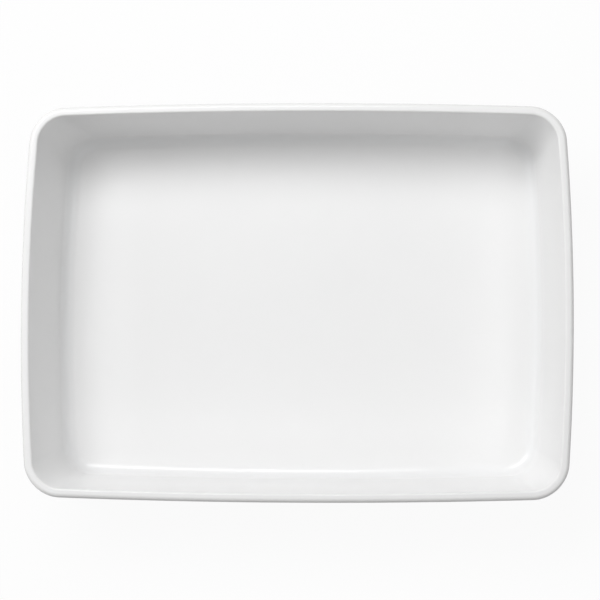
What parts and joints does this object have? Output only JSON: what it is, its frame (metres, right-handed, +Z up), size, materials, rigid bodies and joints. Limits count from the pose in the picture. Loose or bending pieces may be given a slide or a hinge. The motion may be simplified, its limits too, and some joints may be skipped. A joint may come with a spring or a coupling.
{
  "type": "lasagna dish",
  "caption": "Oblong white glazed ceramic lasagna dish with outward-leaning walls, bowed sides, rounded corners and rim, and a low bare foot ring.",
  "frame": {"origin": "centre of the foot ring's standing face, at the bottom centre of the whole dish", "axes": "+X along the dish's length, +Y across it, +Z up out of its mouth"},
  "size_m": [0.34, 0.246, 0.062],
  "materials": {
    "fired_clay": "matte, fine grained, bare only on the foot ring's standing face",
    "white_glaze": "clear gloss over white, faintly wavy, pooled in the floor's corners"
  },
  "bodies": {
    "root": {"ceramic_body": "fired_clay", "glaze_coat": "white_glaze", "underside_glaze": "white_glaze"}
  },
  "joints": []
}
